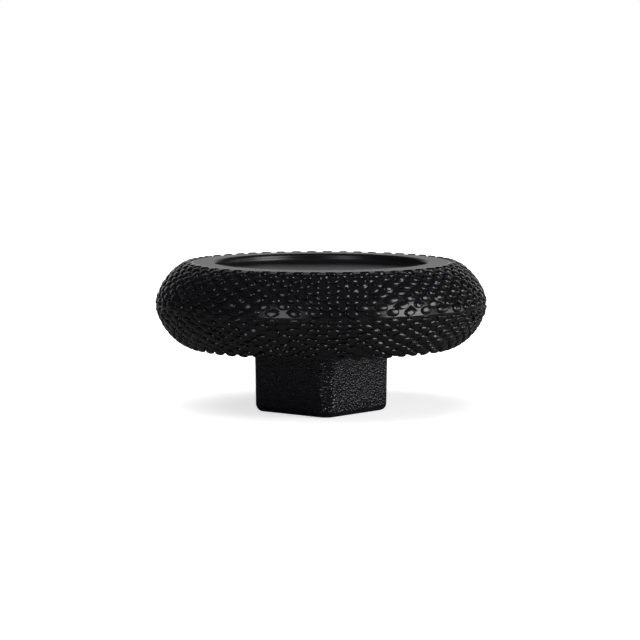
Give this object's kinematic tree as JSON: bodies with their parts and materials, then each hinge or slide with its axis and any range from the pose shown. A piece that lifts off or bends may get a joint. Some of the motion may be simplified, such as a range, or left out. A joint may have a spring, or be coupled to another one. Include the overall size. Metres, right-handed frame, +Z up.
{
  "type": "controller thumbstick",
  "caption": "Thumbstick cap for a game controller: round dished grip disc with a studded rim on a square post with a blind socket.",
  "frame": {"origin": "centre of the post's foot, which is the middle of the bottom of the bounding box", "axes": "+Z up the stick's axis towards the dish; X and Y square to the flats of the post"},
  "size_m": [0.02, 0.02, 0.009],
  "materials": {
    "black_plastic": "black moulded plastic, satin on the top ring and the dish, glossy on the rim's studs, spark-eroded matt on the post"
  },
  "bodies": {
    "root": {"thumbstick_cap": "black_plastic"}
  },
  "joints": []
}
